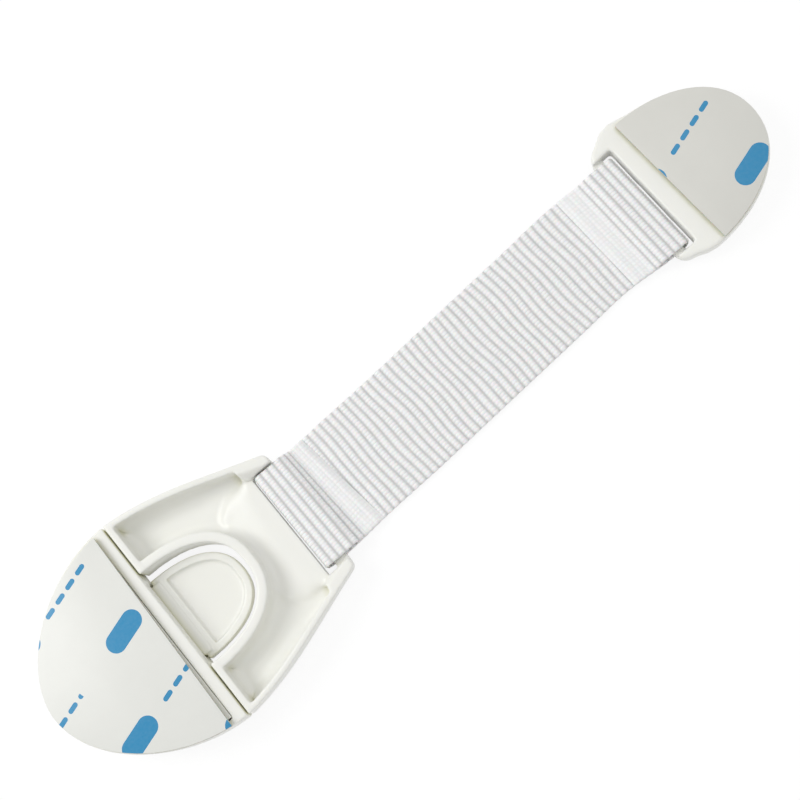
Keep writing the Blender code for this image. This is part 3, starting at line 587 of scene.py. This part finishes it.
def printed_paper(name, paper, first_bar):
    """Rows in which thick round-ended bars and lines of short dashes take turns, each row a half step on."""
    material = bpy.data.materials.new(name)
    tree = node_tree(material)
    point = object_point(tree)
    turned = wire(tree, "ShaderNodeMapping",
                  {"Vector": point, "Location": first_bar, "Rotation": (0, 0, ROW_TURN)},
                  vector_type="TEXTURE")
    split = wire(tree, "ShaderNodeSeparateXYZ", {0: turned.outputs[0]})
    rows = reckon(tree, "DIVIDE", split.outputs["Y"], ROW_STEP)
    row = reckon(tree, "FLOOR", reckon(tree, "ADD", rows, 0.5))
    odd = reckon(tree, "FLOORED_MODULO", row, 2.0)
    shifted = reckon(tree, "ADD", split.outputs["X"], reckon(tree, "MULTIPLY", odd, ROW_SHIFT))
    across = repeated(tree, split.outputs["Y"], ROW_STEP)
    bar = round_bar(tree, repeated(tree, shifted, PRINT_STEP), across, BAR_LENGTH, BAR_RADIUS)
    from_dashes = reckon(tree, "SUBTRACT", shifted, DASHES_PLACE)
    in_line = reckon(tree, "LESS_THAN", repeated(tree, from_dashes, PRINT_STEP), DASHES_LENGTH / 2)
    from_dash = reckon(tree, "ADD", from_dashes, DASH_STEP / 2)
    dash = round_bar(tree, repeated(tree, from_dash, DASH_STEP), across, DASH_LENGTH, DASH_RADIUS)
    ink = reckon(tree, "MAXIMUM", bar, reckon(tree, "MULTIPLY", in_line, dash))
    mottle = wire(tree, "ShaderNodeTexNoise", {"Vector": point, "Scale": 160, "Detail": 4, "Roughness": 0.6})
    worn = wire(tree, "ShaderNodeMapRange", {"Value": mottle.outputs["Fac"], "To Min": 0.96, "To Max": 1.02})
    sheet_tint = mixed_tint(tree, 1.0, paper, worn.outputs["Result"], "MULTIPLY")
    speckle = wire(tree, "ShaderNodeTexNoise", {"Vector": point, "Scale": 1500, "Detail": 2})
    thin = wire(tree, "ShaderNodeMapRange", {"Value": speckle.outputs["Fac"], "To Min": 0.93, "To Max": 1.0})
    colour = mixed_tint(tree, reckon(tree, "MULTIPLY", ink, thin.outputs["Result"]), sheet_tint, PRINT_BLUE)
    fibre = wire(tree, "ShaderNodeTexNoise", {"Vector": point, "Scale": 1800, "Detail": 3})
    bump = wire(tree, "ShaderNodeBump",
                {"Height": fibre.outputs["Fac"], "Strength": 0.12, "Distance": 0.02 * MM})
    body = wire(tree, "ShaderNodeBsdfPrincipled",
                {"Base Color": colour, "Roughness": 0.42, "Normal": bump.outputs["Normal"]})
    wire(tree, "ShaderNodeOutputMaterial", {"Surface": body.outputs[0]})
    return material


for node, (name, paper, first_bar) in LINERS.items():
    shape = bmesh.new()
    shape.from_mesh(frame["nodes"][node].data)
    bmesh.ops.remove_doubles(shape, verts=shape.verts, dist=1e-6)
    bmesh.ops.dissolve_limit(shape, angle_limit=math.radians(0.5), verts=shape.verts, edges=shape.edges)
    bmesh.ops.bevel(shape, geom=shape.edges[:], offset=LINER_EDGE, segments=2, profile=0.5, affect="EDGES",
                    material=-1)
    liner = linked(name, shape)
    liner.data.shade_smooth()
    liner.data.set_sharp_from_angle(angle=math.radians(35))
    liner.data.materials.append(printed_paper(f"{name}_paper", paper, first_bar))
    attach(liner, node)
    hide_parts(node)


# Strap: one length of white 25 mm webbing, ribbed across, folded round a bar at each end and welded
# down behind the fold. It is made in lengths that meet between the joints and bend over them.
STRAP_WIDTH = 25.0 * MM
RIB_PITCH = 1.8 * MM
YARN_PITCH = 0.765 * MM
RIB_HEIGHT = 0.34 * MM
RIB_POWER = 1.1
YARN_POWER = 0.7
YARN_SHIFT = 0.3
GROOVE_SHARE = 0.30
YARN_SHARE = 0.5
GROOVE_LEVEL = 0.74
YARN_TINT = (0.945, 0.945, 0.943, 1)
YARN_TINT_DEEP = (0.89, 0.892, 0.892, 1)
# Painted shade: the grey that the weave's grooves and the weld's dimples are darkened towards.
GROOVE_PAINTED_SHADE = (0.53, 0.53, 0.525, 1)
WANDER_CALM = 20 * MM
WANDERS = ((0.08, 2.6 * MM, 7 * MM), (0.07, 5.3 * MM, -4 * MM))
EDGE_ROUND = 0.55 * MM
EDGE_ANGLES = (30, 55, 75, 90)
EDGE_SCALLOP = 0.10 * MM
SAMPLES_PER_RIB = 8
SAMPLES_PER_YARN = 5
PATTERN_SCALE = 100
WELD_LENGTH = 6.0 * MM
WELD_END = 9.6 * MM
WELD_OVERLAP = 0.1 * MM
WELD_FADE = 0.5 * MM
WELD_PRESS = 0.90
WELD_RELIEF = 0.5
WELD_SINK = 0.5 * MM
WELD_SHADE = 0.26
HORN_PITCH = 0.9 * MM
HORN_POWER = 0.6
HORN_DEPTH = 0.12 * MM
HORN_WAVES = (0.9 * MM, 1.7 * MM)
RUN_STEP = 0.5 * MM
FOLD_RADIUS = 0.95 * MM
FOLD_STEPS = 6
FOLD_SLACK = 0.8 * MM
TAIL_LENGTH = 9.7 * MM
TAIL_STEPS = 40
TAIL_DROP_START = 0.8 * MM
TAIL_DROP_LENGTH = 3.6 * MM
TAIL_PRESS_RISE = 1.1 * MM
TAIL_END_THIN = 0.35
TAIL_END_TAPER = 1.6 * MM
TAIL_SKEW = 2.3 * MM
TAIL_SKEW_START = 0.15
END_REACH = 9 * MM
ANCHOR_BAR_NARROWER = 0.9 * MM
STRAP_BENDS = 6
BEND_NAMES = ["latch_fold_bend", *(f"strap_bend_{n}" for n in range(1, STRAP_BENDS + 1)), "anchor_fold_bend"]

JOINTS = {joint["name"]: joint for joint in frame["joints"]}
BENDS = [Vector(JOINTS[name]["pos_m"]) for name in BEND_NAMES]
ACROSS = [Vector((-JOINTS[name]["axis"][0], -JOINTS[name]["axis"][1], 0)) for name in BEND_NAMES]
COVER_ACROSS = Vector((0, 1, 0))
run_low, run_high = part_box("strap_run_3")
THICKNESS = run_high.z - run_low.z
LOWER_MIDDLE = (run_high.z + run_low.z) / 2
UPPER_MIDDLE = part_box("strap_latch_wrap")[1].z - THICKNESS / 2
TAIL_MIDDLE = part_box("strap_latch_tail")[0].z + THICKNESS / 2
JITTER_GRID = (97, 67)
jitter = np.random.default_rng(11).uniform(0.78, 1.0, JITTER_GRID)


def heading(across):
    """The way along the strap, from its sideways direction."""
    return Vector((across.y, -across.x, 0))


KNOTS = [BENDS[0] - heading(COVER_ACROSS) * END_REACH, *BENDS,
         BENDS[-1] + heading(ACROSS[-1]) * END_REACH]
KNOTS = [Vector((knot.x, knot.y, 0)) for knot in KNOTS]
SPANS = [0.0]
for first, second in zip(KNOTS, KNOTS[1:]):
    SPANS.append(SPANS[-1] + (second - first).length)
SPANS = [span - SPANS[1] for span in SPANS]
KNOT_ACROSS = [COVER_ACROSS, *ACROSS, ACROSS[-1]]
FREE_LENGTH = SPANS[-2]


def strap_line(along):
    """The strap's middle line in plan at this distance from the first bend, and its sideways direction."""
    index = max(0, min(len(KNOTS) - 2, sum(1 for span in SPANS if span <= along) - 1))
    start, end = SPANS[index], SPANS[index + 1]
    t = (along - start) / (end - start)
    slopes = []
    for k in (index, index + 1):
        before, after = max(k - 1, 0), min(k + 1, len(KNOTS) - 1)
        slopes.append((KNOTS[after] - KNOTS[before]) / (SPANS[after] - SPANS[before]) * (end - start))
    a, b = KNOTS[index], KNOTS[index + 1]
    point = (a * (2 * t**3 - 3 * t * t + 1) + slopes[0] * (t**3 - 2 * t * t + t)
             + b * (3 * t * t - 2 * t**3) + slopes[1] * (t**3 - t * t))
    return point, KNOT_ACROSS[index].lerp(KNOT_ACROSS[index + 1], t).normalized()


def weld_share(along, place=0.0):
    """1 in the pressed band behind each fold, where the tail is welded down, and 0 elsewhere."""
    share = 0.0
    for distance in (along + TAIL_SKEW * (place / STRAP_WIDTH + 0.5), FREE_LENGTH - along):
        inside = min(distance - (WELD_END - WELD_LENGTH), WELD_END + WELD_OVERLAP - distance)
        share = max(share, min(max(inside / WELD_FADE + 0.5, 0.0), 1.0))
    return share


def width_stations():
    """Places across the strap: even over the yarns, and closer together round the two edges."""
    flat = STRAP_WIDTH / 2 - EDGE_ROUND
    count = int(2 * flat / YARN_PITCH * SAMPLES_PER_YARN)
    middle = [flat * (2 * k / count - 1) for k in range(count + 1)]
    edge = [flat + EDGE_ROUND * math.sin(math.radians(angle)) for angle in EDGE_ANGLES]
    return [-place for place in edge[::-1]] + middle + edge


STATIONS = width_stations()


def rib_wander(length, place):
    """How far a rib strays from straight, in ribs: none near the strap's ends."""
    calm = min(1.0, max(0.0, min(length, FREE_LENGTH - length) / WANDER_CALM))
    return calm * sum(size * math.sin(place / sideways + length / lengthways)
                      for size, sideways, lengthways in WANDERS)


def relief(length, place, side):
    """The weave's height: ribs across the strap, crossed by yarns that sit a little further on in each."""
    rib_place = length / RIB_PITCH + (0.5 if side < 0 else 0.0) + rib_wander(length, place)
    rib_number = math.floor(rib_place)
    from_groove = 0.5 - abs(rib_place - rib_number - 0.5)
    rib = math.sin(math.pi / 2 * min(1.0, from_groove / (0.5 - GROOVE_SHARE / 4))) ** RIB_POWER
    yarn_place = place / YARN_PITCH + YARN_SHIFT * (rib_number % 3)
    yarn = abs(math.cos(math.pi * yarn_place)) ** YARN_POWER
    uneven = jitter[rib_number % JITTER_GRID[0], round(yarn_place) % JITTER_GRID[1]]
    return RIB_HEIGHT * rib * uneven * (1 - YARN_SHARE + YARN_SHARE * yarn)


def horn_points(length, place):
    """The fine grid of points on the welding horn."""
    rows, columns = math.sin(math.pi * length / HORN_PITCH), math.sin(math.pi * place / HORN_PITCH)
    return abs(rows * columns) ** HORN_POWER


def pressed_relief(length, place):
    """The weld's own pattern, pressed a little unevenly into the weave."""
    uneven = 0.6 + 0.4 * math.sin(length / HORN_WAVES[0]) * math.sin(place / HORN_WAVES[1])
    return HORN_DEPTH * horn_points(length, place) * uneven


def resampled(profile, step):
    """Even steps along a line of (along, height, weld, skew, thickness) rows, and the distance run so far."""
    table = np.array(profile)
    runs = np.concatenate(([0], np.cumsum(np.hypot(*np.diff(table[:, :2], axis=0).T))))
    count = max(2, round(runs[-1] / step))
    places = np.linspace(0, runs[-1], count + 1)
    return places, np.column_stack([np.interp(places, runs, column) for column in table.T])


def webbing_point(row, tangent, length, place, facing, sign):
    """Where a point of the cloth lies, and its painted shade from how deep it sits in the weave. facing is 1
    on top and -1 below.
    """
    along, height, weld, skew, thick = row
    if thick == 1 and height == LOWER_MIDDLE:
        weld = weld_share(along, place)
    along -= skew * (place / STRAP_WIDTH + 0.5)
    past_flat = max(0.0, abs(place) - (STRAP_WIDTH / 2 - EDGE_ROUND)) / EDGE_ROUND
    raised = relief(length, place, facing * sign)
    # Painted shade: a mask that is high in the grooves between ribs, and between the horn points in the weld.
    groove = max(0.0, 1 - raised / (GROOVE_LEVEL * RIB_HEIGHT))
    painted_weave_shade = (1 - weld) * groove + weld * WELD_SHADE * (1 - horn_points(length, place))
    body = (THICKNESS / 2 - RIB_HEIGHT) * (1 + (WELD_PRESS - 1) * weld)
    half = body + raised * (1 + (WELD_RELIEF - 1) * weld)
    half = (half + pressed_relief(length, place) * weld) * thick
    half *= math.sqrt(max(0.0, 1 - past_flat**2))
    between_ribs = 1 - abs(math.sin(math.pi * length / RIB_PITCH))
    drawn_in = EDGE_SCALLOP * between_ribs * min(1.0, past_flat * 2)
    point, across = strap_line(along)
    normal = heading(across) * -tangent[1] + Vector((0, 0, tangent[0]))
    place -= math.copysign(drawn_in, place)
    return point + Vector((0, 0, height)) + across * place + normal * (facing * half), painted_weave_shade


def webbing(name, profile, phase, sign):
    """A closed piece of webbing along a profile. phase is its pattern's place at the start, sign its way."""
    runs, rows = resampled(profile, RIB_PITCH / SAMPLES_PER_RIB)
    tangents = np.gradient(rows[:, :2], axis=0)
    tangents /= np.linalg.norm(tangents, axis=1)[:, None]
    last_row, last_station = len(rows) - 1, len(STATIONS) - 1
    shape = bmesh.new()
    bmesh.ops.create_grid(shape, x_segments=last_station, y_segments=last_row, size=1)
    pattern = shape.loops.layers.uv.new("weave")
    painted_weave_shade = shape.verts.layers.float.new("painted_weave_shade")
    under = bmesh.ops.duplicate(shape, geom=shape.faces[:])["geom"]
    under_faces = [part for part in under if isinstance(part, bmesh.types.BMFace)]
    under_points = {part for part in under if isinstance(part, bmesh.types.BMVert)}
    bmesh.ops.reverse_faces(shape, faces=under_faces)
    for face in shape.faces:
        for loop in face.loops:
            length = phase + sign * runs[round((loop.vert.co.y + 1) / 2 * last_row)]
            place = STATIONS[round((loop.vert.co.x + 1) / 2 * last_station)]
            loop[pattern].uv = (length * PATTERN_SCALE, place * PATTERN_SCALE)
    for vertex in shape.verts:
        row = round((vertex.co.y + 1) / 2 * last_row)
        place = STATIONS[round((vertex.co.x + 1) / 2 * last_station)]
        length, facing = phase + sign * runs[row], -1 if vertex in under_points else 1
        vertex.co, vertex[painted_weave_shade] = webbing_point(rows[row], tangents[row], length, place, facing, sign)
    bmesh.ops.remove_doubles(shape, verts=shape.verts, dist=1e-7)
    open_edges = [edge for edge in shape.edges if edge.is_boundary]
    for edge in open_edges:
        edge.smooth = False
    bmesh.ops.holes_fill(shape, edges=open_edges, sides=0)
    bmesh.ops.recalc_face_normals(shape, faces=shape.faces)
    for face in shape.faces:
        face.smooth = True
    piece = linked(name, shape)
    piece.data.materials.append(webbing_cloth)
    return piece, float(runs[-1])


def woven_cloth():
    """White polyester yarn: fine filaments along each yarn, painted shade in the grooves, and a soft bright
    bloom.
    """
    material = bpy.data.materials.new("white_webbing")
    tree = node_tree(material)
    laid = wire(tree, "ShaderNodeTexCoord").outputs["UV"]
    stretched = wire(tree, "ShaderNodeMapping", {"Vector": laid, "Scale": (30, 260, 1)})
    filament = wire(tree, "ShaderNodeTexNoise", {"Vector": stretched.outputs[0], "Scale": 1.0, "Detail": 3})
    patch = wire(tree, "ShaderNodeTexNoise", {"Vector": object_point(tree), "Scale": 240, "Detail": 2})
    tint = mixed_tint(tree, filament.outputs["Fac"], YARN_TINT_DEEP, YARN_TINT)
    worn = wire(tree, "ShaderNodeMapRange", {"Value": patch.outputs["Fac"], "To Min": 0.98, "To Max": 1.0})
    toned = mixed_tint(tree, 1.0, tint, worn.outputs["Result"], "MULTIPLY")
    painted_weave_shade = wire(tree, "ShaderNodeAttribute", attribute_name="painted_weave_shade", attribute_type="GEOMETRY")
    # Painted shade: darker in the weave's grooves and between the weld's horn points.
    shaded = mixed_tint(tree, painted_weave_shade.outputs["Fac"], toned, GROOVE_PAINTED_SHADE)
    bump = wire(tree, "ShaderNodeBump",
                {"Height": filament.outputs["Fac"], "Strength": 0.5, "Distance": 0.05 * MM})
    body = wire(tree, "ShaderNodeBsdfPrincipled",
                {"Base Color": shaded, "Roughness": 0.62, "Normal": bump.outputs["Normal"],
                 "Sheen Weight": 0.15, "Sheen Roughness": 0.5,
                 "Subsurface Weight": 0.1, "Subsurface Scale": 0.0006})
    wire(tree, "ShaderNodeOutputMaterial", {"Surface": body.outputs[0]})
    return material


def run_profile(start, end):
    """Rows along a plain stretch of the strap."""
    count = max(2, round(abs(end - start) / RUN_STEP))
    places = [start + (end - start) * k / count for k in range(count + 1)]
    return [(place, LOWER_MIDDLE, weld_share(place), 0.0, 1.0) for place in places]


def end_profile(start, bend, wrap_turn, tail_skew):
    """From mid-fold round the bar and back on to the strap. bend is the joint's place, short of the bar."""
    way = 1 if wrap_turn > bend else -1
    points = run_profile(start, bend)[:-1]
    points.append((bend, LOWER_MIDDLE, 0.0, 0.0, 1.0))
    for centre, first_turn in ((LOWER_MIDDLE + FOLD_RADIUS, -90), (UPPER_MIDDLE - FOLD_RADIUS, 0)):
        for step in range(FOLD_STEPS + 1):
            angle = math.radians(first_turn + 90 / FOLD_STEPS * step)
            points.append((wrap_turn - way * FOLD_RADIUS * (1 - math.cos(angle)),
                           centre + FOLD_RADIUS * math.sin(angle), 0.0, 0.0, 1.0))
    for step in range(TAIL_STEPS + 1):
        out = TAIL_LENGTH * step / TAIL_STEPS
        share = min(max((out - TAIL_DROP_START) / TAIL_DROP_LENGTH, 0.0), 1.0)
        ease = (1 - math.cos(math.pi * share)) / 2
        height = UPPER_MIDDLE + ease * (TAIL_MIDDLE - UPPER_MIDDLE)
        press = min(max((out - (TAIL_LENGTH - WELD_LENGTH)) / TAIL_PRESS_RISE, 0.0), 1.0)
        thick = 1 - (1 - TAIL_END_THIN) * max(0.0, 1 - (TAIL_LENGTH - out) / TAIL_END_TAPER) ** 1.5
        height -= (1 - thick) * THICKNESS / 2 + press * WELD_SINK
        skew = tail_skew * max(0.0, out / TAIL_LENGTH - TAIL_SKEW_START) / (1 - TAIL_SKEW_START)
        points.append((bend - way * out, height, press, skew, thick))
    return points


webbing_cloth = woven_cloth()
MIDS = []
for first, second in zip(SPANS[1:-1], SPANS[2:-1]):
    MIDS.append(RIB_PITCH * round((first + second) / 2 / RIB_PITCH))

latch_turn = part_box("strap_latch_wrap")[0].x - BENDS[0].x + THICKNESS / 2 - FOLD_SLACK
latch_end, latch_length = webbing(
    "strap_latch_end", end_profile(MIDS[0], 0.0, latch_turn, TAIL_SKEW), MIDS[0], -1)
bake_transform(latch_end)
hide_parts("strap_latch_wrap", "strap_latch_fold", "strap_latch_tail")

for number in range(1, STRAP_BENDS + 1):
    start, end = MIDS[number - 1], MIDS[number]
    length, _ = webbing(f"strap_length_{number}", run_profile(start, end), start, 1)
    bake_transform(length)
    if number < STRAP_BENDS:
        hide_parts(f"strap_run_{number}")

anchor_turn = FREE_LENGTH - latch_turn - ANCHOR_BAR_NARROWER
anchor_end, anchor_length = webbing(
    "strap_anchor_end", end_profile(MIDS[-1], FREE_LENGTH, anchor_turn, 0.0), MIDS[-1], 1)
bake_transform(anchor_end)
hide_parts("strap_anchor_wrap", "strap_anchor_fold", "strap_anchor_tail")
